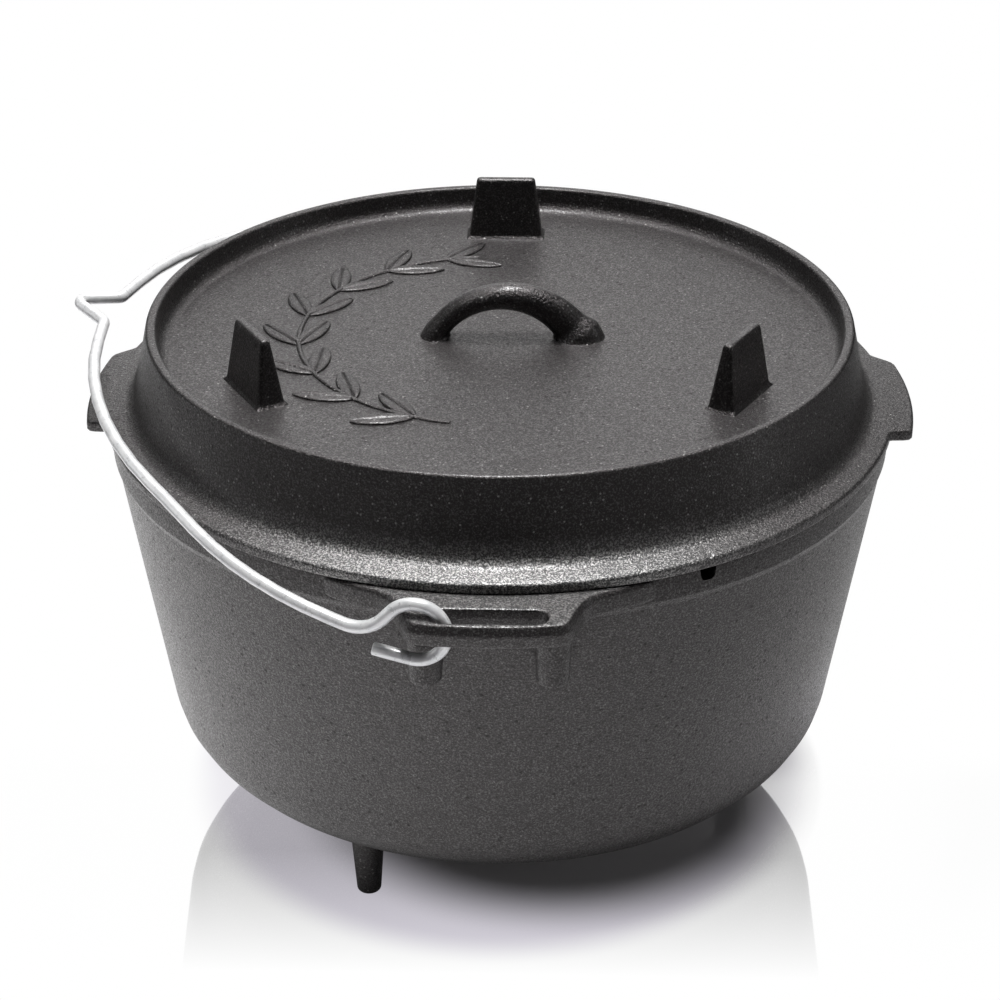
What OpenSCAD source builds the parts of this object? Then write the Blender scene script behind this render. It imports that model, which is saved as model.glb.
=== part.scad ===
// Camp dutch oven: a footed cast iron pot with slotted ears, a flanged coal lid and a wire bail.
// Millimetres, Z up. The origin is on the pot's axis, at the floor that the feet stand on.
// The front is -Y. The ears are at the front and the back, the lid's grips at the left and the right.

/* [Pot] */
// Height of the rim's top above the floor
rim_z = 175; // [150:1:210]
// Outer radius of the rim band
rim_r = 151.4; // [140:0.2:165]
// Height of the rim band
band_h = 11.5; // [9:0.5:16]
// How far the band stands out from the wall
band_step = 1; // [0.4:0.1:2]
// Width of the rim's top, which the lid sits on
rim_w = 6.4; // [5.4:0.2:8]
// Lean of the wall from the vertical, in degrees
wall_taper = 8.6; // [4:0.1:11]
// Thickness of the wall and the bottom
wall_t = 5; // [4:0.5:6]
// Outer radius of the corner between the wall and the bottom
corner_r = 26; // [16:1:34]
// Direction of the probe notch in the rim, in degrees from +X
notch_angle = -60; // [-75:1:-45]
// Width of the probe notch at the rim's top
notch_w = 8; // [6:0.5:10]
// Depth of the probe notch
notch_depth = 5.6; // [4:0.2:8]

/* [Pot feet] */
// Clear height below the bottom, which is the length of a foot
foot_h = 36; // [24:1:50]
// Diameter of a foot where it meets the bottom
foot_root_d = 13.6; // [11:0.2:16]
// Diameter of a foot near the floor
foot_tip_d = 9.4; // [7.6:0.2:10.6]
// Rounding of a foot's tip
foot_tip_round = 1.6; // [0.8:0.2:2.4]
// Distance from the edge of the flat bottom in to a foot's axis
foot_inset = 9.3; // [8.4:0.1:16]

/* [Ears] */
// How far an ear reaches beyond the rim band
ear_out = 23.8; // [21:0.2:30]
// Width of an ear along its front edge
ear_w = 58; // [55:1:59]
// Thickness of an ear
ear_t = 8.4; // [7.4:0.2:9]
// Rounding of an ear's front corners
ear_corner_r = 5; // [3:0.5:7]
// Radius of the sweep from an ear's side into the rim
ear_sweep_r = 18; // [12:1:22]
// Length of the slot for the bail's hook
slot_l = 40; // [39:0.5:42]
// Width of the slot
slot_w = 8.6; // [8.6:0.2:9.4]
// Width of the bar in front of the slot
slot_bar = 4; // [3.4:0.2:5]
// Width of the two ribs under an ear
rib_w = 12; // [10:0.5:13]
// Height of the ribs under an ear
rib_h = 20; // [14:1:28]

/* [Lid] */
// How far the flange that sits on the rim reaches beyond the rim band
flange_over = 1.6; // [1.2:0.1:2.4]
// Thickness of the flange at its edge
flange_t = 3.9; // [3:0.1:5]
// Slope of the flange's top, in degrees
flange_slope = 11; // [4:1:14]
// Height of the coal rim's top above the seat
coal_rim_h = 36.5; // [32:0.5:42]
// Distance from the rim band's outer radius in to the coal rim's top
coal_rim_in = 15.4; // [14.4:0.2:18]
// Width of the coal rim at its top
coal_rim_w = 3.7; // [3:0.1:5]
// Depth of the coal tray below the coal rim
tray_depth = 9.8; // [8:0.2:13]
// Lean of the skirt from the vertical, in degrees
skirt_taper = 12.5; // [9:0.5:13]
// Radius of the sweep from the skirt into the flange
skirt_sweep_r = 6; // [4:0.5:6.5]
// Thickness of the lid
lid_t = 5; // [4:0.5:6]
// How far the lid's locating ring reaches into the pot
ring_h = 3.5; // [2:0.5:4]
// Space between the locating ring and the pot's mouth
ring_gap = 3; // [2.8:0.1:4]

/* [Lid grips] */
// How far a grip reaches beyond the flange
grip_out = 7.8; // [6:0.2:9]
// Width of a grip
grip_w = 64; // [54:1:72]
// Rounding of a grip's corners
grip_corner_r = 8; // [5:0.5:10]

/* [Lid feet] */
// Height of a lid foot above the coal tray
lid_foot_h = 25.3; // [22:0.5:29]
// Distance from the coal tray's edge in to the middle of a lid foot
lid_foot_in = 28.9; // [25:0.1:34]
// Width of a lid foot at its root
lid_foot_root_w = 31.5; // [27:0.5:36]
// Width of a lid foot at its top
lid_foot_top_w = 24; // [18:0.5:26]
// Thickness of a lid foot at its root
lid_foot_root_t = 11.2; // [9:0.2:14]
// Thickness of a lid foot at its top
lid_foot_top_t = 3.6; // [3:0.2:6]

/* [Lid handle] */
// Height of the arch's top above the coal tray
arch_h = 22.3; // [20:0.1:24]
// Radius of the arch along the middle of its bar
arch_r = 32; // [29:0.5:36]
// Diameter of the arch's bar
arch_d = 11; // [9:0.2:12]
// Width of the flare at each end of the arch
arch_flare_d = 18; // [15:0.5:22]
// Height of the flare
arch_flare_h = 6; // [4:0.5:8]

/* [Lid ornament] */
// Height of the raised leaf ornament
leaf_h = 0.9; // [0.5:0.1:1.4]
// Length of a leaf
leaf_l = 24; // [18:0.5:26]
// Width of a leaf
leaf_w = 8.5; // [6:0.5:10]
// Radius of the stem's curve around the lid's axis
stem_r = 78; // [74:1:80]
// Number of leaf pairs along the stem
leaf_pairs = 8; // [5:1:9]

/* [Bail] */
// Diameter of the wire
wire_d = 4.6; // [4:0.1:4.6]
// Radius of a hook's loop along the middle of the wire
loop_r = 10.8; // [10.6:0.1:11.2]
// Straight length of a hook's tail
tail_l = 13; // [8:0.5:15]
// How far the hooks hang below the middle of the ears
hook_drop = 2.3; // [1.6:0.1:2.5]
// How much higher the bow's peak is than half the distance between the hooks
bow_over = 7.3; // [4:0.1:12]
// Height of the peak above the bow's knees
peak_h = 16.5; // [13:0.5:18]
// Half width of the peak at the knees
peak_s = 11; // [9:0.5:13]
// Angle of the bail above the horizontal where it lies at rest, in degrees
bail_rest = 11.7; // [10.5:0.1:16]

/* [Hidden] */
$fn = 96;
iron = [0.13, 0.13, 0.13];
zinc = [0.78, 0.79, 0.8];
// Overlap that keeps a cut from ending flush with a face
over = 1;
// Steps along a rounded corner of a turned profile
round_steps = 8;

// Pot
band_z = rim_z - band_h;
wall_r = rim_r - band_step;
wall_slope = tan(wall_taper);
corner_z = foot_h + corner_r;
flat_r = wall_r - (band_z - corner_z) * wall_slope - corner_r / cos(wall_taper);
mouth_r = rim_r - rim_w;
inner_r = wall_r - wall_t / cos(wall_taper);
mouth_low_z = band_z - (inner_r - mouth_r) / wall_slope;
foot_r = flat_r - foot_inset;
notch_low_w = notch_w / 2;

// Ears
ear_front = rim_r + ear_out;
slot_y = ear_front - slot_bar - slot_w / 2;
sweep_x = ear_w / 2 + ear_sweep_r;
// The sweep bites into the rim, so that it ends in an edge and not in a feather
sweep_bite = 1;
sweep_y = sqrt(pow(rim_r + ear_sweep_r - sweep_bite, 2) - pow(sweep_x, 2));
sweep_end_x = sweep_x * rim_r / (rim_r + ear_sweep_r);
ear_root_y = rim_r * 0.9;
rib_x = ear_w / 2 - rib_w / 2 - over / 2;
rib_y = slot_y - slot_w / 2 - rib_w / 2;

// Lid
flange_r = rim_r + flange_over;
coal_rim_r = rim_r - coal_rim_in;
lid_z = rim_z + coal_rim_h;
tray_z = lid_z - tray_depth;
tray_r = coal_rim_r - coal_rim_w;
skirt_slope = tan(skirt_taper);
under_z = tray_z - lid_t;
flange_rise = tan(flange_slope);
ring_r = mouth_r - ring_gap;
under_r = coal_rim_r + (lid_z - under_z) * skirt_slope - lid_t / cos(skirt_taper);
ring_in_r = under_r + (under_z - rim_z) * skirt_slope;
// The sweep from the skirt into the flange: the middle of its arc, and the angles where it starts and ends
sweep_lid_z = skirt_flange_z();
sweep_lid_r = skirt_radius(sweep_lid_z) + skirt_sweep_r / cos(skirt_taper);
// The skirt starts where the sweep ends
skirt_z = sweep_lid_z - skirt_sweep_r * sin(skirt_taper);
skirt_in_r = under_r + (under_z - skirt_z) * skirt_slope;
lid_foot_r = tray_r - lid_foot_in;
grip_r = flange_r + grip_out;
mark_w = 1;
mark_depth = 0.7;
mark_l = 4.6;

// Handle
arch_z = tray_z + arch_h - arch_d / 2 - arch_r;
arch_leg_x = sqrt(arch_r * arch_r - pow(tray_z - arch_z, 2));

// Ornament
stem_w = 2.2;
stem_start_angle = 98;
stem_end_angle = 258;
stem_mid_angle = (stem_start_angle + stem_end_angle) / 2;
leaf_lean_angle = 32;
leaf_arc_r = (leaf_l * leaf_l / 4 + leaf_w * leaf_w / 4) / leaf_w;

// Bail
hinge_x = (ear_w / 2 + slot_l / 2) / 2;
hinge_z = rim_z - ear_t / 2 - hook_drop;
hinge_turn = atan2(hinge_x, slot_y);
hook_s = norm([hinge_x, slot_y]);
wire_r = wire_d / 2;
// Corners of the wire, each with the radius of its bend. Past the hook's crown the wire dips to the neck,
// then runs up the heel, the haunch and the shoulder to the knee and the peak
crown_t = 6.2;
neck_t = 16;
neck_n = 6.3;
neck_in = 1.2;
neck_bend = 9;
heel_in = 10.9;
heel_t = 61.5;
heel_bend = 120;
peak_t = hook_s + bow_over;
knee_t = peak_t - peak_h;
haunch_s = hook_s * 0.705;
haunch_drop = 56.5;
haunch_t = knee_t - haunch_drop;
haunch_bend = 220;
shoulder_s = hook_s * 0.47;
shoulder_drop = 11.1;
shoulder_t = knee_t - shoulder_drop;
shoulder_bend = 150;
peak_bend = 4;
// Slack between two bends of the loop, so that a short straight run joins them
loop_slack = 0.2;
// How far a straight run reaches into a bend, and how much thicker than the run the bend is to hold it
bend_grip = 0.3;
bend_swell = 0.04;

// Radius of the skirt's outside at a height
function skirt_radius(z) = coal_rim_r + (lid_z - z) * skirt_slope;

// Height of the middle of the sweep that touches both the skirt and the flange's sloping top
function skirt_flange_z() =
    let (edge_z = rim_z + flange_t)
    let (rise = skirt_sweep_r / cos(flange_slope) - skirt_sweep_r / cos(skirt_taper) * flange_rise)
    (edge_z + rise + (flange_r - coal_rim_r - lid_z * skirt_slope) * flange_rise)
    / (1 - skirt_slope * flange_rise);

// Points along an arc in a turned profile
function arc(middle, r, from, to) =
    [for (i = [0:round_steps]) let (a = from + (to - from) * i / round_steps)
        middle + r * [cos(a), sin(a)]];

function unit(v) = v / norm(v);

// Outlines of the rounded corner, the outside from the flat bottom up and the inside from the wall down
function corner_outside() = arc([flat_r, corner_z], corner_r, -90, -wall_taper);
function corner_inside() = arc([flat_r, corner_z], corner_r - wall_t, -wall_taper, -90);

// Outline of the wall's outside above the corner, up to the rim
function wall_outside() = [[wall_r, band_z], [rim_r, band_z + band_step], [rim_r, rim_z]];

module pot_solid() {
    rotate_extrude()
        polygon(concat([[0, foot_h]], corner_outside(), wall_outside(), [[0, rim_z]]));
}

// The flat disc inside the rounded corner
module pot_bottom() {
    color(iron)
    translate([0, 0, foot_h])
        cylinder(h = wall_t, r = flat_r);
}

// The rounded corner between the bottom and the wall
module pot_corner() {
    color(iron)
    rotate_extrude()
        polygon(concat(corner_outside(), corner_inside()));
}

// The wall above the corner, with the rim band
module pot_wall() {
    color(iron)
    difference() {
        rotate_extrude()
            polygon(concat(
                [corner_outside()[round_steps]], wall_outside(),
                [[mouth_r, rim_z], [mouth_r, mouth_low_z], corner_inside()[0]]
            ));
        rotate([0, 0, notch_angle])
        translate([mouth_r - over, 0, rim_z])
        rotate([90, 0, 90])
        linear_extrude(rim_w + 2 * over)
            polygon([
                [-notch_w / 2, over], [-notch_w / 2, 0], [-notch_low_w / 2, -notch_depth],
                [notch_low_w / 2, -notch_depth], [notch_w / 2, 0], [notch_w / 2, over]
            ]);
    }
}

// A tapered peg with a rounded tip and a flat end
module pot_foot(angle) {
    tip_r = foot_tip_d / 2;
    color(iron)
    rotate([0, 0, angle])
    translate([foot_r, 0, 0])
    rotate_extrude()
        polygon(concat(
            [[0, 0]],
            arc([tip_r - foot_tip_round, foot_tip_round], foot_tip_round, -90, 0),
            [[foot_root_d / 2, foot_h], [0, foot_h]]
        ));
}

// Plan of an ear at the front, with its slot
module ear_plan() {
    straight_w = ear_w - 2 * ear_corner_r;
    difference() {
        union() {
            translate([-straight_w / 2, -ear_front])
                square([straight_w, ear_front - ear_root_y]);
            translate([-ear_w / 2, ear_corner_r - ear_front])
                square([ear_w, ear_front - ear_corner_r - ear_root_y]);
            for (side = [-1, 1])
                translate([side * straight_w / 2, ear_corner_r - ear_front])
                    circle(ear_corner_r);
            translate([-sweep_end_x, -sweep_y])
                square([2 * sweep_end_x, sweep_y - ear_root_y]);
        }
        for (side = [-1, 1])
            translate([side * sweep_x, -sweep_y])
                circle(ear_sweep_r);
        ear_slot();
    }
}

module ear_slot() {
    translate([0, -slot_y])
    union() {
        square([slot_l - slot_w, slot_w], center = true);
        for (side = [-1, 1])
            translate([side * (slot_l - slot_w) / 2, 0])
                circle(d = slot_w);
    }
}

// A rib under one end of an ear, running back into the wall
module ear_rib(side) {
    translate([side * rib_x, -rib_y, rim_z - ear_t - rib_h])
    linear_extrude(rib_h)
    union() {
        circle(d = rib_w);
        translate([-rib_w / 2, 0])
            square([rib_w, rib_y - ear_root_y + rib_h]);
    }
}

module ear(angle) {
    color(iron)
    rotate([0, 0, angle])
    difference() {
        union() {
            translate([0, 0, rim_z - ear_t])
            linear_extrude(ear_t)
                ear_plan();
            for (side = [-1, 1])
                ear_rib(side);
        }
        pot_solid();
    }
}

// The flat disc that carries the coals
module lid_plate() {
    color(iron)
    translate([0, 0, under_z])
        cylinder(h = lid_t, r = tray_r);
}

// The leaning ring round the plate, with the coal rim at its top
module lid_skirt() {
    color(iron)
    rotate_extrude()
        polygon([
            [tray_r, under_z], [under_r, under_z], [skirt_in_r, skirt_z], [skirt_radius(skirt_z), skirt_z],
            [coal_rim_r, lid_z], [tray_r, lid_z]
        ]);
}

// The ring that sits on the pot's rim and locates the lid in its mouth, with a mark over the notch
module lid_flange() {
    color(iron)
    difference() {
        rotate_extrude()
            polygon(concat(
                [[skirt_in_r, skirt_z], [ring_in_r, rim_z], [ring_in_r, rim_z - ring_h]],
                [[ring_r, rim_z - ring_h], [ring_r, rim_z], [flange_r, rim_z], [flange_r, rim_z + flange_t]],
                arc([sweep_lid_r, sweep_lid_z], skirt_sweep_r, 270 - flange_slope, 180 + skirt_taper)
            ));
        rotate([0, 0, notch_angle])
        translate([flange_r - mark_l, -mark_w / 2, rim_z + flange_t - mark_depth])
            cube([mark_l + over, mark_w, 2 * mark_depth + over]);
    }
}

// A tab that carries the flange's slope outwards, at the right when the angle is 0
module grip(angle) {
    drop = grip_out * flange_rise;
    round_y = grip_w / 2 - grip_corner_r;
    round_x = grip_r - grip_corner_r;
    color(iron)
    rotate([0, 0, angle])
    intersection() {
        rotate_extrude()
            polygon([
                [flange_r, rim_z], [grip_r, rim_z - drop],
                [grip_r, rim_z + flange_t - drop], [flange_r, rim_z + flange_t]
            ]);
        translate([0, 0, rim_z - drop - over])
        linear_extrude(flange_t + drop + 2 * over)
        union() {
            translate([0, -round_y])
                square([grip_r + over, 2 * round_y]);
            translate([0, -grip_w / 2])
                square([round_x, grip_w]);
            for (side = [-1, 1])
                translate([round_x, side * round_y])
                    circle(grip_corner_r);
        }
    }
}

// A plate that narrows upwards, with its wide side across the lid's radius
module lid_foot(angle) {
    color(iron)
    rotate([0, 0, angle])
    translate([lid_foot_r, 0, tray_z])
    intersection() {
        rotate([90, 0, 90])
        linear_extrude(lid_foot_root_t, center = true)
            polygon(taper(lid_foot_root_w, lid_foot_top_w));
        rotate([90, 0, 0])
        linear_extrude(lid_foot_root_w, center = true)
            polygon(taper(lid_foot_root_t, lid_foot_top_t));
    }
}

// Side view of a lid foot, as wide as root at the tray and as wide as top at the foot's top
function taper(root, top) =
    [[-root / 2, 0], [root / 2, 0], [top / 2, lid_foot_h], [-top / 2, lid_foot_h]];

module lid_handle() {
    color(iron)
    intersection() {
        union() {
            translate([0, 0, arch_z])
            rotate([90, 0, 0])
            rotate_extrude()
                translate([arch_r, 0])
                    circle(d = arch_d);
            for (side = [-1, 1])
                translate([side * arch_leg_x, 0, tray_z])
                    cylinder(h = arch_flare_h, d1 = arch_flare_d, d2 = arch_d - over);
        }
        translate([-arch_r - arch_d, -arch_flare_d, tray_z])
            cube([2 * (arch_r + arch_d), 2 * arch_flare_d, arch_h + over]);
    }
}

// A leaf as the overlap of two discs, with its root at the origin and its tip along +X
module leaf() {
    intersection_for (side = [-1, 1])
        translate([leaf_l / 2, side * (leaf_arc_r - leaf_w / 2)])
            circle(leaf_arc_r);
}

// A curved sprig on the tray's left half: a stem with leaves in pairs. A leaf's root is inside the stem
module lid_ornament() {
    pitch = (stem_end_angle - stem_start_angle) / leaf_pairs;
    color(iron)
    translate([0, 0, tray_z])
    linear_extrude(leaf_h)
    union() {
        intersection() {
            difference() {
                circle(stem_r + stem_w / 2);
                circle(stem_r - stem_w / 2);
            }
            polygon([
                [0, 0], sector(stem_start_angle), sector(stem_mid_angle - 45),
                sector(stem_mid_angle + 45), sector(stem_end_angle)
            ]);
        }
        for (pair = [0:leaf_pairs - 1], side = [-1, 1])
            rotate([0, 0, stem_end_angle - pitch / 2 - pair * pitch])
            translate([stem_r + side * stem_w / 4, 0])
            rotate([0, 0, side * leaf_lean_angle - 90])
                leaf();
    }
}

// A point well outside the stem in a direction
function sector(angle) = 2 * stem_r * [cos(angle), sin(angle)];

// A straight run of wire between two points
module wire_run(from, to) {
    along = unit(to - from);
    across = unit(cross(along, abs(along.x) < 0.8 ? [1, 0, 0] : [0, 1, 0]));
    place(across, cross(along, across), along, from)
        cylinder(h = norm(to - from), r = wire_r);
}

// A bend of wire that starts at a point, turns from one direction into another and has a given radius
module wire_bend(start, before, after, bend) {
    inward = unit(after - before * (before * after));
    place(-inward, before, cross(-inward, before), start + inward * bend)
    rotate_extrude(angle = acos(before * after))
        translate([bend, 0])
            circle(wire_r + bend_swell);
}

// Puts its children into a frame given by three unit vectors and an origin
module place(x, y, z, origin) {
    multmatrix([
        [x.x, y.x, z.x, origin.x],
        [x.y, y.y, z.y, origin.y],
        [x.z, y.z, z.z, origin.z],
        [0, 0, 0, 1]
    ])
        children();
}

// Length that a bend takes from the straight runs on both sides of its corner
function setback(path, i) =
    i == 0 || i == len(path) - 1 ? 0 :
    let (before = unit(path[i][0] - path[i - 1][0]), after = unit(path[i + 1][0] - path[i][0]))
    path[i][1] * tan(acos(before * after) / 2);

// A wire along a list of corners, each with the radius of its bend. A run reaches a little way into its bends
module bent_wire(path) {
    last = len(path) - 1;
    for (i = [0:last - 1]) {
        along = unit(path[i + 1][0] - path[i][0]);
        from = path[i][0] + along * setback(path, i);
        to = path[i + 1][0] - along * setback(path, i + 1);
        wire_run(from - along * (i > 0 ? bend_grip : 0), to + along * (i < last - 1 ? bend_grip : 0));
        if (i < last - 1)
            wire_bend(to, along, unit(path[i + 2][0] - path[i + 1][0]), path[i + 1][1]);
    }
}

// One half of the bail in its own frame: along the hinge line, up the bow, and out of the bow's plane
function half_bail() =
    let (tilt = neck_n / hook_s)
    [
        [[hook_s, tail_l, -loop_r], 0],
        [[hook_s, -loop_r, -loop_r], loop_r - loop_slack],
        [[hook_s, -loop_r, loop_r], loop_r - loop_slack],
        [[hook_s, crown_t, loop_r], loop_r],
        [[hook_s - neck_in, neck_t, -neck_n], neck_bend],
        [[hook_s - heel_in, heel_t, -tilt * (hook_s - heel_in)], heel_bend],
        [[haunch_s, haunch_t, -tilt * haunch_s], haunch_bend],
        [[shoulder_s, shoulder_t, -tilt * shoulder_s], shoulder_bend],
        [[peak_s, knee_t, -tilt * peak_s], peak_bend]
    ];

// The other half is the first one turned half round about the line through the peak
function turned(half) =
    [for (i = [len(half) - 1:-1:0]) let (p = half[i][0]) [[-p.x, p.y, -p.z], half[i][1]]];

module bail() {
    half = half_bail();
    color(zinc)
    translate([0, 0, hinge_z])
    rotate([0, 0, -hinge_turn])
    place([0, -1, 0], [-cos(bail_rest), 0, sin(bail_rest)], [sin(bail_rest), 0, cos(bail_rest)], [0, 0, 0])
        bent_wire(concat(half, [[[0, peak_t, 0], peak_bend]], turned(half)));
}

pot_bottom();
pot_corner();
pot_wall();
ear(0);  // front_ear
ear(180);  // back_ear
pot_foot(0);  // right_pot_foot
pot_foot(120);  // back_pot_foot
pot_foot(240);  // front_pot_foot
lid_plate();
lid_skirt();
lid_flange();
lid_handle();
lid_foot(90);  // back_lid_foot
lid_foot(210);  // left_lid_foot
lid_foot(330);  // right_lid_foot
grip(180);  // left_grip
grip(0);  // right_grip
lid_ornament();
bail();
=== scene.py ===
from math import atan2, cos, degrees, hypot, pi, radians, sin, sqrt, tan

import bmesh
import bpy
from mathutils import Matrix, Vector


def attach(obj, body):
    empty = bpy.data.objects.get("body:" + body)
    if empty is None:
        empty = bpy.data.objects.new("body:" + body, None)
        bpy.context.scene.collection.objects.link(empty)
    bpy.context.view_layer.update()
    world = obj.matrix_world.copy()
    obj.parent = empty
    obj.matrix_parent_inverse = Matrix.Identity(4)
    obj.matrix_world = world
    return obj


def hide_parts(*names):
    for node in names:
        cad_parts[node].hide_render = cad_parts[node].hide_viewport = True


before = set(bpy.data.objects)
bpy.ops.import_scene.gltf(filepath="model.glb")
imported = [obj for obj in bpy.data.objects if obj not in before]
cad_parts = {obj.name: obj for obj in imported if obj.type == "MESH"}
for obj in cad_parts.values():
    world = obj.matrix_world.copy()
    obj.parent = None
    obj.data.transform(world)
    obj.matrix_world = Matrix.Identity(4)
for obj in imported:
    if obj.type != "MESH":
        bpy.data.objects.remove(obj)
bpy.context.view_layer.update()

scene = bpy.context.scene

# Pieces are shaped in millimetres and scaled to metres when they are done.
MM = 0.001
CASTING_T = 5

# Pot
RIM_Z = 175
RIM_R = 151.4
MOUTH_R = 145
WALL_R = 150.4
WALL_LEAN = tan(radians(8.6))
FLOOR_Z = 36
FOOT_R = 99.45
# The wall reaches WALL_R at BAND_Z, where a bevel widens it to the band under the rim
BAND_Z = 163.5
BEVEL = 2.6
BEVEL_LOW = BAND_Z - BEVEL / 3
BEVEL_HIGH = BAND_Z + BEVEL * 2 / 3

# Ears
EAR_T = 8.4
EAR_BACK_R = 147.6
EAR_BEVEL = 1.2
EAR_BEVEL_DROP = 3.3
SLOT_Y = 166.9
SLOT_HALF = 20
SLOT_R = 4.3
RIB_X = 22

# Lid
FLANGE_R = 153
FLANGE_Z = 178.9
FLANGE_LEAN = tan(radians(11))
COAL_RIM_R = 136
LID_Z = 211.5
SKIRT_LEAN = tan(radians(12.5))
SKIRT_T = 5.1
SEAT_RING_R = 142
SEAT_RING_H = 3.5
TRAY_Z = 201.7
TRAY_R = 132.3
LID_FOOT_R = 103.4
GRIP_OUT = 7.8
GRIP_HALF = 32
NOTCH_ANGLE = radians(-60)

# Bail
HINGE_X = 24.5
HINGE_Z = 168.5
BAIL_REST = radians(11.7)
WIRE_R = 2.3

BLACK = (0, 0, 0, 1)
WHITE = (1, 1, 1, 1)


class Shade:
    """A socket in a material's node tree, so that shader maths can be written as expressions."""

    def __init__(self, tree, socket=None):
        self.tree = tree
        self.socket = socket

    def node(self, kind, inputs=None, output=0, **settings):
        """The output of a new node."""
        made = self.tree.nodes.new(kind)
        for key, value in settings.items():
            setattr(made, key, value)
        self.fill(made, inputs or {})
        return Shade(self.tree, made.outputs[output])

    def fill(self, node, inputs):
        """Gives sockets of a node a value or a link."""
        for key, value in inputs.items():
            if isinstance(value, Shade):
                self.tree.links.new(value.socket, node.inputs[key])
            else:
                node.inputs[key].default_value = value

    def other(self, name):
        """Another output of the same node."""
        return Shade(self.tree, self.socket.node.outputs[name])

    def maths(self, operation, a, b=0.0, clamp=False):
        return self.node("ShaderNodeMath", {0: a, 1: b}, operation=operation, use_clamp=clamp)

    def highest(self, a, b):
        return self.maths("MAXIMUM", a, b)

    def length(self):
        """The length of this vector."""
        return self.node("ShaderNodeVectorMath", {0: self}, output="Value", operation="LENGTH")

    def number_between(self, factor, a, b):
        return self.node("ShaderNodeMix", {0: factor, 2: a, 3: b})

    def mix(self, factor, a, b):
        """A colour between a and b."""
        return self.node("ShaderNodeMix", {0: factor, 6: a, 7: b}, output=2, data_type="RGBA")

    def band(self, low, high):
        """0 where this is below low, 1 where it is above high, and smooth between."""
        return self.node(
            "ShaderNodeMapRange",
            {"Value": self, "From Min": low, "From Max": high},
            interpolation_type="SMOOTHSTEP",
        )

    def noise(self, scale, detail, roughness):
        """Noise at this place, with so many grains to the metre."""
        inputs = {"Vector": self, "Scale": scale, "Detail": detail, "Roughness": roughness}
        return self.node("ShaderNodeTexNoise", inputs)

    def cells(self, scale, feature="F1", **inputs):
        """Distance from the middle of a cell at this place, with so many cells to the metre."""
        return self.node("ShaderNodeTexVoronoi", {"Vector": self, "Scale": scale, **inputs}, feature=feature)

    def axes(self):
        """The three numbers of this vector."""
        x = self.node("ShaderNodeSeparateXYZ", {0: self})
        return x, x.other("Y"), x.other("Z")

    def __add__(self, other):
        return self.maths("ADD", self, other)

    def __sub__(self, other):
        return self.maths("SUBTRACT", self, other)

    def __rsub__(self, other):
        return self.maths("SUBTRACT", other, self)

    def __mul__(self, other):
        return self.maths("MULTIPLY", self, other)

    def __abs__(self):
        return self.maths("ABSOLUTE", self)

    __radd__ = __add__
    __rmul__ = __mul__


def new_material(name):
    """A material with its Principled shader and a Shade to add nodes with."""
    material = bpy.data.materials.new(name)
    material.use_nodes = True
    tree = material.node_tree
    return material, tree.nodes["Principled BSDF"], Shade(tree)


def grey(tone, warm=0.0):
    return (tone * (1 + warm), tone, tone * (1 - warm), 1)


def seasoned_iron(name, depth, tone, glint, roughness, seed):
    """Black cast iron under baked oil: pebbles that are depth high, in millimetres, pits and bare specks."""
    material, shader, s = new_material(name)
    spot = s.node("ShaderNodeTexCoord", output="Object")
    shift = (seed * 0.37, seed * 0.21, seed * 0.13)
    place = s.node("ShaderNodeMapping", {"Vector": spot, "Location": shift})
    pebble = place.cells(1000, "SMOOTH_F1", Smoothness=0.5)
    fine = place.noise(1500, 3, 0.7)
    broad = place.noise(45, 4, 0.6)
    pit = 1 - place.cells(210).band(0.06, 0.2)
    height = (1 - pebble) * 0.7 + fine * 1.3 + broad * 0.6 - pit * 0.5
    bump = s.node("ShaderNodeBump", {"Strength": 1.0, "Distance": depth * MM, "Height": height})
    # Tops of the pebbles are glossy, the highest are bare, and some cells have a bright dot
    facet = fine.band(0.47, 0.58) * (1 - pit)
    bare = fine.band(0.53, 0.64) * (1 - pit)
    dots = place.cells(430)
    dot = (1 - dots.band(0.1, 0.2)) * dots.other("Color").band(0.45, 0.5)
    # The lid's flange top has a painted sheen: bright metallic colour, strongest at the front and fading to
    # the sides, which stands in for the top light's highlight
    across, along, up = spot.axes()
    around = s.maths("SQRT", across * across + along * along)
    painted_flange_sheen = around.band(0.1405, 0.1435) * up.band(0.1745, 0.1755) * (1 - abs(across).band(0.04, 0.11) * 0.9)
    base = s.mix(broad.band(0.3, 0.7), grey(tone * 0.8), grey(tone * 1.2, 0.03))
    base = s.mix(pit * 0.7, base, grey(tone * 0.3))
    base = s.mix(bare, base, grey(0.1, 0.02))
    base = s.mix(dot, base, grey(glint, 0.02))
    # Painted sheen on the flange top, over the pebbled colour
    base = s.mix(painted_flange_sheen, base, s.mix(facet, grey(0.095), grey(0.385, 0.02)))
    inputs = {
        "Base Color": base,
        "Metallic": s.highest(painted_flange_sheen, s.highest(bare * 0.8, dot)),
        "Roughness": broad * 0.1 + pit * 0.2 + painted_flange_sheen * 0.03 + roughness,
        "Normal": bump,
        "Specular Tint": (1, 0.91, 0.92, 1),
        "Coat Weight": facet * 0.75 + 0.12,
        "Coat Roughness": 0.3,
        "IOR": 1.56,
    }
    s.fill(shader, inputs)
    return material


def galvanised_wire(name):
    """Drawn steel wire with a bright zinc skin: frosty patches and scuffs."""
    material, shader, s = new_material(name)
    place = s.node("ShaderNodeTexCoord", output="Object")
    frost = place.noise(160, 5, 0.6)
    scuff = place.noise(620, 3, 0.7)
    base = s.mix(frost.band(0.3, 0.7), grey(0.74, -0.01), grey(0.9))
    base = s.mix(scuff.band(0.56, 0.75) * 0.6, base, grey(0.36))
    bump = s.node("ShaderNodeBump", {"Strength": 0.3, "Distance": 0.06 * MM, "Height": scuff + frost})
    inputs = {"Base Color": base, "Roughness": frost * 0.15 + 0.22, "Normal": bump, "Metallic": 0.28}
    s.fill(shader, inputs)
    return material


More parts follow.
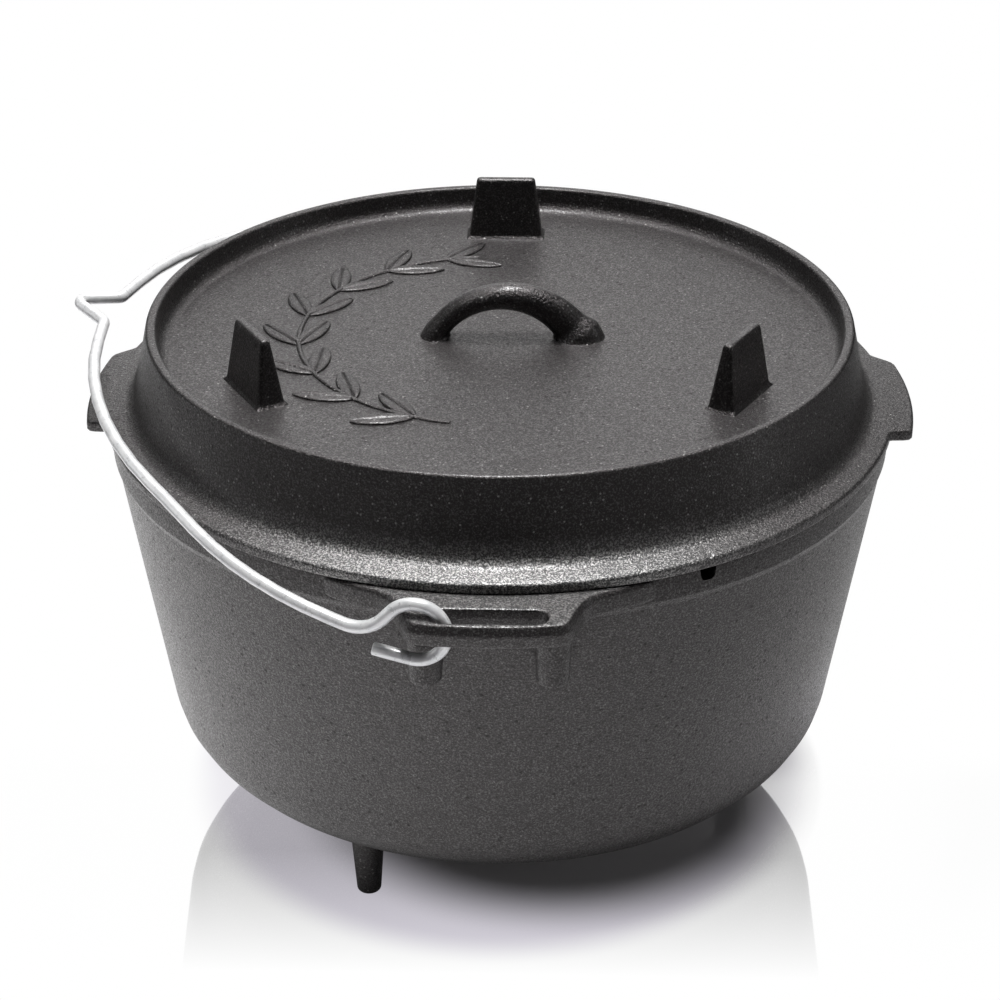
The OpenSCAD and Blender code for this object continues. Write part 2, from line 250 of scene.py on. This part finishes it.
WALL_IRON = seasoned_iron("pot wall iron", depth=0.3, tone=0.005, glint=0.16, roughness=0.36, seed=1)
LID_IRON = seasoned_iron("lid iron", depth=0.26, tone=0.004, glint=0.28, roughness=0.36, seed=2)
HANDLE_IRON = seasoned_iron("handle iron", depth=0.26, tone=0.004, glint=0.28, roughness=0.28, seed=3)
WIRE = galvanised_wire("galvanised wire")


def rounded(corners, steps=6):
    """Points of an outline in a plane or in space. The last number of each corner is its rounding's radius.

    With no steps, a rounding has about one point every 5 degrees.
    """
    points = []
    for i, (*place, radius) in enumerate(corners):
        corner = Vector(place)
        if not radius:
            points.append(corner)
            continue
        before = (Vector(corners[i - 1][:-1]) - corner).normalized()
        after = (Vector(corners[(i + 1) % len(corners)][:-1]) - corner).normalized()
        half = before.angle(after) / 2
        middle = corner + (before + after).normalized() * (radius / sin(half))
        start = corner + before * (radius / tan(half)) - middle
        end = corner + after * (radius / tan(half)) - middle
        turn = start.angle(end)
        count = steps or max(4, int(degrees(turn) / 5))
        for k in range(count + 1):
            t = k / count
            points.append(middle + (start * sin(turn * (1 - t)) + end * sin(turn * t)) / sin(turn))
    return points


def move(bm, vec):
    bmesh.ops.translate(bm, verts=bm.verts, vec=vec)


def rotate(bm, angle, axis="Z"):
    bmesh.ops.rotate(bm, cent=(0, 0, 0), matrix=Matrix.Rotation(angle, 3, axis), verts=bm.verts)


def spin(bm, geom, axis, angle, steps, **settings):
    bmesh.ops.spin(bm, geom=geom, cent=(0, 0, 0), axis=axis, angle=angle, steps=steps, **settings)


def turned(corners, steps=256):
    """A solid of revolution about Z. Its outline of (radius, height, rounding) starts and ends on the axis."""
    bm = bmesh.new()
    verts = [bm.verts.new((p.x, 0, p.y)) for p in rounded(corners)]
    edges = [bm.edges.new(pair) for pair in zip(verts, verts[1:])]
    spin(bm, verts + edges, (0, 0, 1), 2 * pi, steps, use_merge=True)
    bmesh.ops.remove_doubles(bm, verts=bm.verts, dist=1e-4)
    bmesh.ops.recalc_face_normals(bm, faces=bm.faces)
    return bm


def plate(outline, holes, top, bottom, bevel=0, drop=0):
    """A flat plate with holes. Its top edges may have a bevel, which reaches down by drop."""
    bm = bmesh.new()
    edges = []
    for loop in [outline] + holes:
        verts = [bm.verts.new((p[0], p[1], top - drop)) for p in loop]
        edges += [bm.edges.new((verts[i - 1], verts[i])) for i in range(len(verts))]
    bmesh.ops.triangle_fill(bm, use_beauty=True, edges=edges)
    upper = bm.faces[:]
    made = bmesh.ops.extrude_face_region(bm, geom=upper, use_keep_orig=True)
    moved = [v for v in made["geom"] if isinstance(v, bmesh.types.BMVert)]
    bmesh.ops.translate(bm, verts=moved, vec=(0, 0, bottom - top + drop))
    bmesh.ops.recalc_face_normals(bm, faces=bm.faces)
    if bevel:
        bmesh.ops.inset_region(bm, faces=upper, thickness=bevel, depth=drop, use_even_offset=True)
    return bm


def block(low, high):
    """A block between two rectangles, each of (half its width on X, half its width on Y, height)."""
    bm = bmesh.new()
    bmesh.ops.create_cube(bm, size=2)
    for vert in bm.verts:
        x, y, z = vert.co
        half_x, half_y, height = low if z < 0 else high
        vert.co = (x * half_x, y * half_y, height)
    return bm


def add_to(bm, other):
    """Puts another bmesh into bm."""
    mesh = bpy.data.meshes.new("part")
    other.to_mesh(mesh)
    other.free()
    bm.from_mesh(mesh)
    bpy.data.meshes.remove(mesh)


def evaluated(obj):
    """The shape of an object with its modifiers or curve settings. The object is removed."""
    scene.collection.objects.link(obj)
    bpy.context.view_layer.update()
    mesh = bpy.data.meshes.new_from_object(obj.evaluated_get(bpy.context.evaluated_depsgraph_get()))
    bm = bmesh.new()
    bm.from_mesh(mesh)
    bpy.data.objects.remove(obj)
    bpy.data.meshes.remove(mesh)
    return bm


def through_modifier(bm, kind, **settings):
    """The shape after one modifier."""
    mesh = bpy.data.meshes.new("shape")
    bm.to_mesh(mesh)
    bm.free()
    obj = bpy.data.objects.new("shape", mesh)
    modifier = obj.modifiers.new(kind, kind)
    for key, value in settings.items():
        setattr(modifier, key, value)
    out = evaluated(obj)
    bpy.data.meshes.remove(mesh)
    return out


def cut(bm, cutter):
    """The shape with the cutter's shape taken out of it."""
    mesh = bpy.data.meshes.new("cutter")
    cutter.to_mesh(mesh)
    cutter.free()
    tool = bpy.data.objects.new("cutter", mesh)
    scene.collection.objects.link(tool)
    out = through_modifier(bm, "BOOLEAN", object=tool, operation="DIFFERENCE", solver="EXACT")
    bpy.data.objects.remove(tool)
    bpy.data.meshes.remove(mesh)
    return out


def piece(name, bm, body, material, nodes, sharp=35):
    """Makes the shape a piece of the object, in metres, in place of some of the model's nodes."""
    bmesh.ops.scale(bm, vec=(MM, MM, MM), verts=bm.verts)
    mesh = bpy.data.meshes.new(name)
    bm.to_mesh(mesh)
    bm.free()
    mesh.materials.append(material)
    for polygon in mesh.polygons:
        polygon.use_smooth = True
    mesh.set_sharp_from_angle(angle=radians(sharp))
    obj = bpy.data.objects.new(name, mesh)
    scene.collection.objects.link(obj)
    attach(obj, body)
    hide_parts(*nodes)


def smoothstep(x):
    x = min(max(x, 0), 1)
    return x * x * (3 - 2 * x)


def wall_radius(z):
    """Outer radius of the pot at a height."""
    step = min(max((z - BAND_Z) / BEVEL + 1 / 3, 0), 1)
    return (WALL_R - (BAND_Z - min(z, BAND_Z)) * WALL_LEAN) * (1 - step) + RIM_R * step


def make_pot():
    bm = turned(
        [
            (0, FLOOR_Z, 0),
            (wall_radius(FLOOR_Z), FLOOR_Z, 26),
            (wall_radius(BEVEL_LOW), BEVEL_LOW, 2),
            (RIM_R, BEVEL_HIGH, 1.5),
            (RIM_R - 0.3, RIM_Z, 1.3),
            (MOUTH_R, RIM_Z, 1.3),
            (MOUTH_R, 161.2, 6),
            (126.8, FLOOR_Z + CASTING_T, 21),
            (0, FLOOR_Z + CASTING_T, 0),
        ]
    )
    # A notch in the rim, cut by an upright plate that reaches out of the iron above, inside and outside
    half_top, half_bottom, deep, reach = 4.6, 2.6, 5.6, 6
    notch_r = 148
    notch_outline = rounded(
        [(-half_top, reach, 0), (-half_bottom, -deep, 2), (half_bottom, -deep, 2), (half_top, reach, 0)]
    )
    notch = plate(notch_outline, [], reach, -reach)
    bmesh.ops.transform(
        notch,
        matrix=Matrix.Rotation(NOTCH_ANGLE, 4, "Z")
        @ Matrix.Translation((notch_r, 0, RIM_Z))
        @ Matrix.Rotation(pi / 2, 4, "Z")
        @ Matrix.Rotation(pi / 2, 4, "X"),
        verts=notch.verts,
    )
    piece("pot_casting", cut(bm, notch), "pot", WALL_IRON, ["pot_bottom", "pot_corner", "pot_wall"])


def cast_on(bm, voxel, rounds, shift):
    """Melts closed shapes into one casting with soft fillets, and moves each point by its shift."""
    bm = through_modifier(bm, "REMESH", mode="VOXEL", voxel_size=voxel)
    axes = {"use_axis_x": True, "use_axis_y": True, "use_axis_z": True}
    for _ in range(rounds):
        bmesh.ops.smooth_vert(bm, verts=bm.verts, factor=0.5, **axes)
    for vert in bm.verts:
        vert.co += shift(vert.co)
    bmesh.ops.recalc_face_normals(bm, faces=bm.faces)
    return bm


def into_wall(place):
    """Shift of a point on the pot's wall or rim, which takes it just below the surface."""
    x, y, z = place
    r = hypot(x, y)
    sink = 0.9 * (1 - smoothstep((r - wall_radius(z)) / 1.2))
    drop = 0.7 if r < RIM_R - 0.6 and z > RIM_Z - 5 else 0
    return Vector((-x / r * sink, -y / r * sink, -drop))


def into_tray(place):
    """Shift of a point on the lid's tray, which takes it just below the surface."""
    return Vector((0, 0, -0.4 * (1 - smoothstep((place.z - TRAY_Z) / 0.6))))


# Plan of the right half of the front ear, from the middle of its front edge to where it runs out on the rim
EAR_PLAN = (
    (0, -175.2), (10, -174.9), (18, -174.2), (23.5, -173.5), (26.4, -172.5), (28.3, -170.2), (29.3, -167),
    (30.5, -162.8), (32.4, -157.8), (35.2, -153.6), (39.4, -150.6), (44.5, -148.2), (50, -145.2),
    (57, -140.9), (64, -136),
)


def ear_plate():
    """The ear's slotted plate. Its back lies inside the wall's thickness."""
    back = [(EAR_BACK_R * sin(radians(a)), -EAR_BACK_R * cos(radians(a))) for a in range(25, -26, -2)]
    outline = [(-x, y) for x, y in reversed(EAR_PLAN[1:])] + list(EAR_PLAN) + back
    ends = SLOT_R - 0.02
    slot = rounded(
        [
            (-SLOT_HALF, -SLOT_Y - SLOT_R, ends),
            (SLOT_HALF, -SLOT_Y - SLOT_R, ends),
            (SLOT_HALF, -SLOT_Y + SLOT_R, ends),
            (-SLOT_HALF, -SLOT_Y + SLOT_R, ends),
        ]
    )
    bm = plate(outline, [slot], RIM_Z, RIM_Z - EAR_T, EAR_BEVEL, EAR_BEVEL_DROP)
    for vert in bm.verts:
        x, y, z = vert.co
        # The front edge leans in a little towards the bottom
        if z < RIM_Z - EAR_T + 1 and y < -172:
            vert.co.y += 0.7
        # The bevel runs out along the rim, and it is smaller round the slot
        if abs(z - RIM_Z + EAR_BEVEL_DROP) < 0.1:
            vert.co.z += 2.1 * smoothstep((abs(x) - 28) / 12)
        middle = Vector((min(max(x, SLOT_R - SLOT_HALF), SLOT_HALF - SLOT_R), -SLOT_Y, z))
        if z > RIM_Z - 0.1 and (vert.co - middle).length < SLOT_R + EAR_BEVEL + 0.2:
            vert.co = middle + (vert.co - middle).normalized() * (SLOT_R + 0.4)
    return bm


def ear_shape():
    """The front ear: a slotted plate that sweeps into the rim, with a rib under each end."""
    bm = ear_plate()
    for side in (-1, 1):
        rib = bmesh.new()
        bmesh.ops.create_cone(rib, cap_ends=True, segments=32, radius1=5.8, radius2=7, depth=26)
        move(rib, (side * RIB_X, -155.8, 156))
        add_to(bm, rib)
        web = block((6, 4.2, -11), (6, 4.2, 11))
        move(web, (side * RIB_X, -151.8, 157))
        add_to(bm, web)
    # A strip of the wall, so that the ear's fillets have a surface to run out on
    heights = (137, BEVEL_LOW, BEVEL_HIGH, 174)
    outline = [(wall_radius(z), z) for z in heights] + [(wall_radius(z) - 3.4, z) for z in reversed(heights)]
    wall = bmesh.new()
    wall.faces.new([wall.verts.new((r, 0, z)) for r, z in outline])
    spin(wall, wall.faces[:], (0, 0, 1), radians(58), 58)
    rotate(wall, radians(-119))
    bmesh.ops.recalc_face_normals(wall, faces=wall.faces)
    add_to(bm, wall)
    return cast_on(bm, 0.6, 2, into_wall)


def make_ears():
    front = ear_shape()
    back = front.copy()
    rotate(back, pi)
    piece("front_ear_casting", front, "pot", WALL_IRON, ["front_ear"])
    piece("back_ear_casting", back, "pot", WALL_IRON, ["back_ear"])


def make_pot_feet():
    top = FLOOR_Z + 0.3
    for name, angle in (("right", 0), ("back", 120), ("front", 240)):
        bm = turned([(0, 0, 0), (4.7, 0, 1.6), (7.0, FLOOR_Z - 3, 3), (11.4, top, 0), (0, top, 0)], 48)
        move(bm, (FOOT_R, 0, 0))
        rotate(bm, radians(angle))
        piece(f"{name}_pot_leg", bm, "pot", HANDLE_IRON, [f"{name}_pot_foot"])


def make_lid():
    hollow_r = COAL_RIM_R + (LID_Z - RIM_Z) * SKIRT_LEAN - SKIRT_T
    # Where the skirt's line meets the line of the flange's top
    foot_r = COAL_RIM_R + (LID_Z - FLANGE_Z - FLANGE_R * FLANGE_LEAN) * SKIRT_LEAN
    meet_r = foot_r / (1 - FLANGE_LEAN * SKIRT_LEAN)
    meet_z = FLANGE_Z + (FLANGE_R - meet_r) * FLANGE_LEAN
    bm = turned(
        [
            (0, TRAY_Z - CASTING_T, 0),
            (134.16, TRAY_Z - CASTING_T, 5),
            (hollow_r, RIM_Z, 0),
            (hollow_r, RIM_Z - SEAT_RING_H, 0.9),
            (SEAT_RING_R, RIM_Z - SEAT_RING_H, 0.9),
            (SEAT_RING_R, RIM_Z, 0.8),
            (FLANGE_R, RIM_Z, 0.9),
            (FLANGE_R, FLANGE_Z, 1.5),
            (meet_r, meet_z, 6),
            (COAL_RIM_R, LID_Z, 1.5),
            (TRAY_R, LID_Z, 1.3),
            (TRAY_R - 0.9, TRAY_Z, 5),
            (0, TRAY_Z, 0),
        ],
        720,
    )
    # The flange's edge is drawn out to a grip on the left and the right, and marked over the pot's notch
    edge_r = FLANGE_R - 7
    for vert in bm.verts:
        x, y, z = vert.co
        r = hypot(x, y)
        if r < edge_r or z > meet_z:
            continue
        share = smoothstep((r - edge_r) / 6)
        out = GRIP_OUT * smoothstep((GRIP_HALF + 3 - abs(y)) / 7) * share
        vert.co.x += x / r * out
        vert.co.y += y / r * out
        vert.co.z -= out * FLANGE_LEAN
        if abs(atan2(y, x) - NOTCH_ANGLE) < radians(0.3) and r > edge_r + 1 and z > RIM_Z + 1:
            vert.co.z -= 0.8 * share
    nodes = ["lid_plate", "lid_skirt", "lid_flange", "left_grip", "right_grip"]
    piece("lid_casting", bm, "lid", LID_IRON, nodes)


def tray_patch(centre, half_x, half_y):
    """A patch of the tray's plate, for what is cast on it."""
    bm = block((half_x, half_y, -1.5), (half_x, half_y, 1.5))
    move(bm, (*centre, TRAY_Z - 1.5))
    return bm


def make_lid_feet():
    for name, angle in (("back", 90), ("left", 210), ("right", 330)):
        bm = block((5.6, 15.6, -1), (1.9, 12.1, 25.3))
        rims = [e for e in bm.edges if e.verts[0].co.z + e.verts[1].co.z > 0]
        bmesh.ops.bevel(bm, geom=rims, offset=1.1, segments=3, profile=0.5, affect="EDGES", material=-1)
        move(bm, (LID_FOOT_R, 0, TRAY_Z))
        flare = block((6.8, 16.8, -0.1), (5.1, 15.1, 1.1))
        move(flare, (LID_FOOT_R, 0, TRAY_Z))
        add_to(bm, flare)
        add_to(bm, tray_patch((LID_FOOT_R, 0), 9, 19))
        bm = cast_on(bm, 0.5, 3, into_tray)
        rotate(bm, radians(angle))
        piece(f"{name}_lid_peg", bm, "lid", HANDLE_IRON, [f"{name}_lid_foot"])


def make_lid_handle():
    """An arched bar between an inner and an outer circle. Its right leg is thicker than its left."""
    inner = Vector((0.5, 188.3)), 24.9
    outer = Vector((4, 186.4)), 37.3
    middle = Vector((2, 187.2))
    ring = 10
    half_wide = 5.6

    def reach(circle, way):
        """Distance from the middle to a circle."""
        offset = middle - circle[0]
        along = offset.dot(way)
        return sqrt(along**2 - offset.length_squared + circle[1] ** 2) - along

    # Half a ring, which is then bent onto the arch
    bm = bmesh.new()
    bmesh.ops.create_circle(bm, segments=40, radius=1, cap_ends=True)
    move(bm, (ring, 0, 0))
    spin(bm, bm.faces[:], (0, 1, 0), -pi, 72)
    first, last = radians(22), radians(157)
    for vert in bm.verts:
        x, y, z = vert.co
        turn = first + atan2(z, x) / pi * (last - first)
        way = Vector((cos(turn), sin(turn)))
        near, far = reach(inner, way), reach(outer, way)
        spot = middle + way * ((near + far) / 2)
        collar = (2.6 if spot.x > 0 else 0.8) * (1 - smoothstep((spot.y - TRAY_Z - 0.5) / 5))
        spot += way * ((hypot(x, z) - ring) * ((far - near) / 2 + collar))
        vert.co = (spot.x, y * (half_wide + collar), spot.y)
    bmesh.ops.recalc_face_normals(bm, faces=bm.faces)
    add_to(bm, tray_patch((2, 0), 46, 15))
    bm = cast_on(bm, 0.55, 3, into_tray)
    piece("lid_handle_casting", bm, "lid", HANDLE_IRON, ["lid_handle"])


def leaf_shape():
    """A raised leaf along X from the origin, with a vein."""
    half_long, half_wide, high = 12, 4.25, 1.3
    bm = bmesh.new()
    bmesh.ops.create_uvsphere(bm, u_segments=36, v_segments=24, radius=1)
    rotate(bm, pi / 2, "Y")
    for vert in bm.verts:
        x, y, z = vert.co
        vein = 0.7 * max(0, 1 - abs(y) * 4.5)
        rise = high * z**0.55 - vein if z > 0 else z
        vert.co = (half_long + half_long * x, y * half_wide * max(0, 1 - x * x) ** 0.2, rise)
    return bm


def make_lid_ornament():
    """A sprig of raised leaves in pairs along a curved stem, on the left of the tray."""
    stem_r = 78
    stem_start, stem_end, pairs = 98, 258, 8
    pitch = (stem_end - stem_start) / pairs
    bm = bmesh.new()
    for pair in range(pairs):
        turn = Matrix.Rotation(radians(stem_end - pitch * (pair + 0.5)), 4, "Z")
        for side in (-1, 1):
            lean = Matrix.Rotation(radians(side * 32 - 90), 4, "Z")
            leaf = leaf_shape()
            place = turn @ Matrix.Translation((stem_r, 0, 0)) @ lean
            bmesh.ops.transform(leaf, matrix=place, verts=leaf.verts)
            add_to(bm, leaf)
    stem = bmesh.new()
    bmesh.ops.create_circle(stem, segments=16, radius=1.1, cap_ends=True)
    rotate(stem, pi / 2, "X")
    move(stem, (stem_r, 0, -0.2))
    spin(stem, stem.faces[:], (0, 0, 1), radians(stem_end - stem_start), 80)
    rotate(stem, radians(stem_start))
    add_to(bm, stem)
    move(bm, (0, 0, TRAY_Z))
    bmesh.ops.recalc_face_normals(bm, faces=bm.faces)
    piece("leaf_sprig", bm, "lid", LID_IRON, ["lid_ornament"])


def bail_path():
    """Points along the middle of the wire, as distances along the hinge, up the bow and out of its plane."""
    hook = hypot(HINGE_X, SLOT_Y)
    loop = 10.8
    peak = hook + 7.3
    knee = peak - 16.5
    skew = 6.3
    tilt = skew / hook
    half = [
        (hook, 13, -loop, 0),
        (hook, -loop, -loop, loop - 0.2),
        (hook, -loop, loop, loop - 0.2),
        (hook, 6.2, loop, loop),
        (hook - 1.2, 16, -skew, 15),
        (hook - 10.9, 61.5, -tilt * (hook - 10.9), 120),
        (hook * 0.705, knee - 56.5, -tilt * hook * 0.705, 220),
        (hook * 0.47, knee - 11.1, -tilt * hook * 0.47, 150),
        (11, knee, -tilt * 11, 4),
    ]
    other_half = [(-along, up, -out, bend) for along, up, out, bend in reversed(half)]
    return rounded(half + [(0, peak, 0, 4)] + other_half, steps=None)


def make_bail():
    along = Vector((0, -1, 0))
    up = Vector((-cos(BAIL_REST), 0, sin(BAIL_REST)))
    out = Vector((sin(BAIL_REST), 0, cos(BAIL_REST)))
    turn = Matrix.Rotation(-atan2(HINGE_X, SLOT_Y), 3, "Z")
    base = Vector((0, 0, HINGE_Z))
    path = [turn @ (along * p.x + up * p.y + out * p.z) + base for p in bail_path()]
    # The wire's ends are chamfered
    first = path[0] + (path[1] - path[0]).normalized() * 0.5
    last = path[-1] + (path[-2] - path[-1]).normalized() * 0.5
    path = [path[0], first] + path[1:-1] + [last, path[-1]]
    curve = bpy.data.curves.new("wire", "CURVE")
    curve.dimensions = "3D"
    curve.bevel_depth = WIRE_R
    curve.bevel_resolution = 5
    curve.use_fill_caps = True
    spline = curve.splines.new("POLY")
    spline.points.add(len(path) - 1)
    for point, place in zip(spline.points, path):
        point.co = (*place, 1)
    for end in (spline.points[0], spline.points[-1]):
        end.radius = 0.78
    bm = evaluated(bpy.data.objects.new("wire", curve))
    bpy.data.curves.remove(curve)
    bmesh.ops.remove_doubles(bm, verts=bm.verts, dist=1e-4)
    bmesh.ops.recalc_face_normals(bm, faces=bm.faces)
    piece("bail_wire", bm, "bail", WIRE, ["bail"], sharp=50)


def make_floor():
    """A glossy white table that fades into plain white away from the oven."""
    bm = bmesh.new()
    bmesh.ops.create_grid(bm, x_segments=1, y_segments=1, size=6)
    mesh = bpy.data.meshes.new("floor")
    bm.to_mesh(mesh)
    bm.free()
    obj = bpy.data.objects.new("floor", mesh)
    scene.collection.objects.link(obj)
    material, shader, s = new_material("white table")
    mesh.materials.append(material)
    place = s.node("ShaderNodeTexCoord", output="Object")
    right, back, _ = place.axes()
    front = 0 - back
    away = place.length()
    shadow_at = (0.023, 0.002, 0)
    under = s.node("ShaderNodeVectorMath", {0: place, 1: shadow_at}, operation="SUBTRACT").length()
    camera = s.node("ShaderNodeLightPath")
    seen = s.highest(camera, camera.other("Is Glossy Ray"))
    seen = s.highest(seen, camera.other("Is Transmission Ray"))
    # Close to the oven the table takes real shadows, with a painted shadow round them. Further out it is plain
    # white, and its glow lights the oven's walls
    s.fill(shader, {"Base Color": (0.85, 0.84, 0.87, 1), "Roughness": 0.6, "Specular IOR Level": 0})
    faded = s.number_between(
        camera,
        under.band(0.105, 0.2),
        s.highest(under.band(0.082, 0.12), away.band(0.122, 0.138)),
    )
    # A lavender disc round the oven, seen by the camera: painted shadow
    painted_shadow = s.mix(away.band(0.114, 0.134), (0.715, 0.69, 0.76, 1), WHITE)
    # What reflections see of the table: a painted glow, brighter on the left and dimming far off
    lamp = (1 - right.band(-0.15, 0.35) * 0.5) * (1 - away.band(0.4, 0.8) * 0.95)
    painted_glow_and_shadow = s.mix(camera, s.mix(lamp, BLACK, (1.2, 1.2, 1.2, 1)), painted_shadow)
    white = s.node("ShaderNodeEmission", {"Color": painted_glow_and_shadow})
    table = s.node("ShaderNodeMixShader", {0: faded * seen, 1: Shade(s.tree, shader.outputs[0]), 2: white})
    # The mirror image in front of the oven
    gloss = s.node("ShaderNodeBsdfGlossy", {"Color": WHITE, "Roughness": 0.03})
    near = s.maths("MULTIPLY", 0.138 - front, 6.3, clamp=True)
    mirror = s.maths("MINIMUM", near, 0.48) * (1 - away.band(0.19, 0.24)) * front.band(-0.02, 0.015) * camera
    mixed = s.node("ShaderNodeMixShader", {0: mirror, 1: table, 2: gloss})
    s.fill(s.tree.nodes["Material Output"], {"Surface": mixed})


def soft_box(name, place, aim, width, height, power):
    light = bpy.data.lights.new(name, "AREA")
    light.shape = "RECTANGLE"
    light.size = width
    light.size_y = height
    light.energy = power
    obj = bpy.data.objects.new(name, light)
    scene.collection.objects.link(obj)
    obj.location = place
    obj.rotation_euler = (Vector(aim) - Vector(place)).to_track_quat("-Z", "Y").to_euler()


def make_studio():
    make_floor()
    soft_box("top_softbox", (0, 0.17, 2.0), (0, 0, 0), 0.4, 0.8, power=50)
    soft_box("left_softbox", (-1.6, 0.1, 0.5), (0, 0, 0.1), 0.5, 0.9, power=1.5)
    soft_box("right_softbox", (1.6, -0.2, 0.5), (0, 0, 0.1), 0.5, 0.9, power=2)
    world = bpy.data.worlds.new("studio")
    scene.world = world
    world.use_nodes = True
    s = Shade(world.node_tree)
    across, along, _ = s.node("ShaderNodeTexCoord", output="Generated").axes()
    camera = s.node("ShaderNodeLightPath")
    # A white backdrop behind the oven, and a dim room around it
    backdrop = (1 - abs(across + 0.05).band(0.17, 0.57)) * along.band(0, 0.3)
    lit = backdrop * 0.97 + 0.02
    level = camera * (1 - lit) + lit
    s.fill(world.node_tree.nodes["Background"], {"Color": s.mix(level, BLACK, WHITE)})


def make_camera():
    data = bpy.data.cameras.new("camera")
    data.lens = 90
    data.sensor_width = 36
    obj = bpy.data.objects.new("camera", data)
    scene.collection.objects.link(obj)
    obj.location = (0.0216, -0.8842, 0.6071)
    obj.rotation_euler = (radians(61.61), 0, radians(1.4))
    scene.camera = obj


make_camera()
make_pot()
make_ears()
make_pot_feet()
make_lid()
make_lid_feet()
make_lid_handle()
make_lid_ornament()
make_bail()
make_studio()
scene.view_settings.view_transform = "Standard"
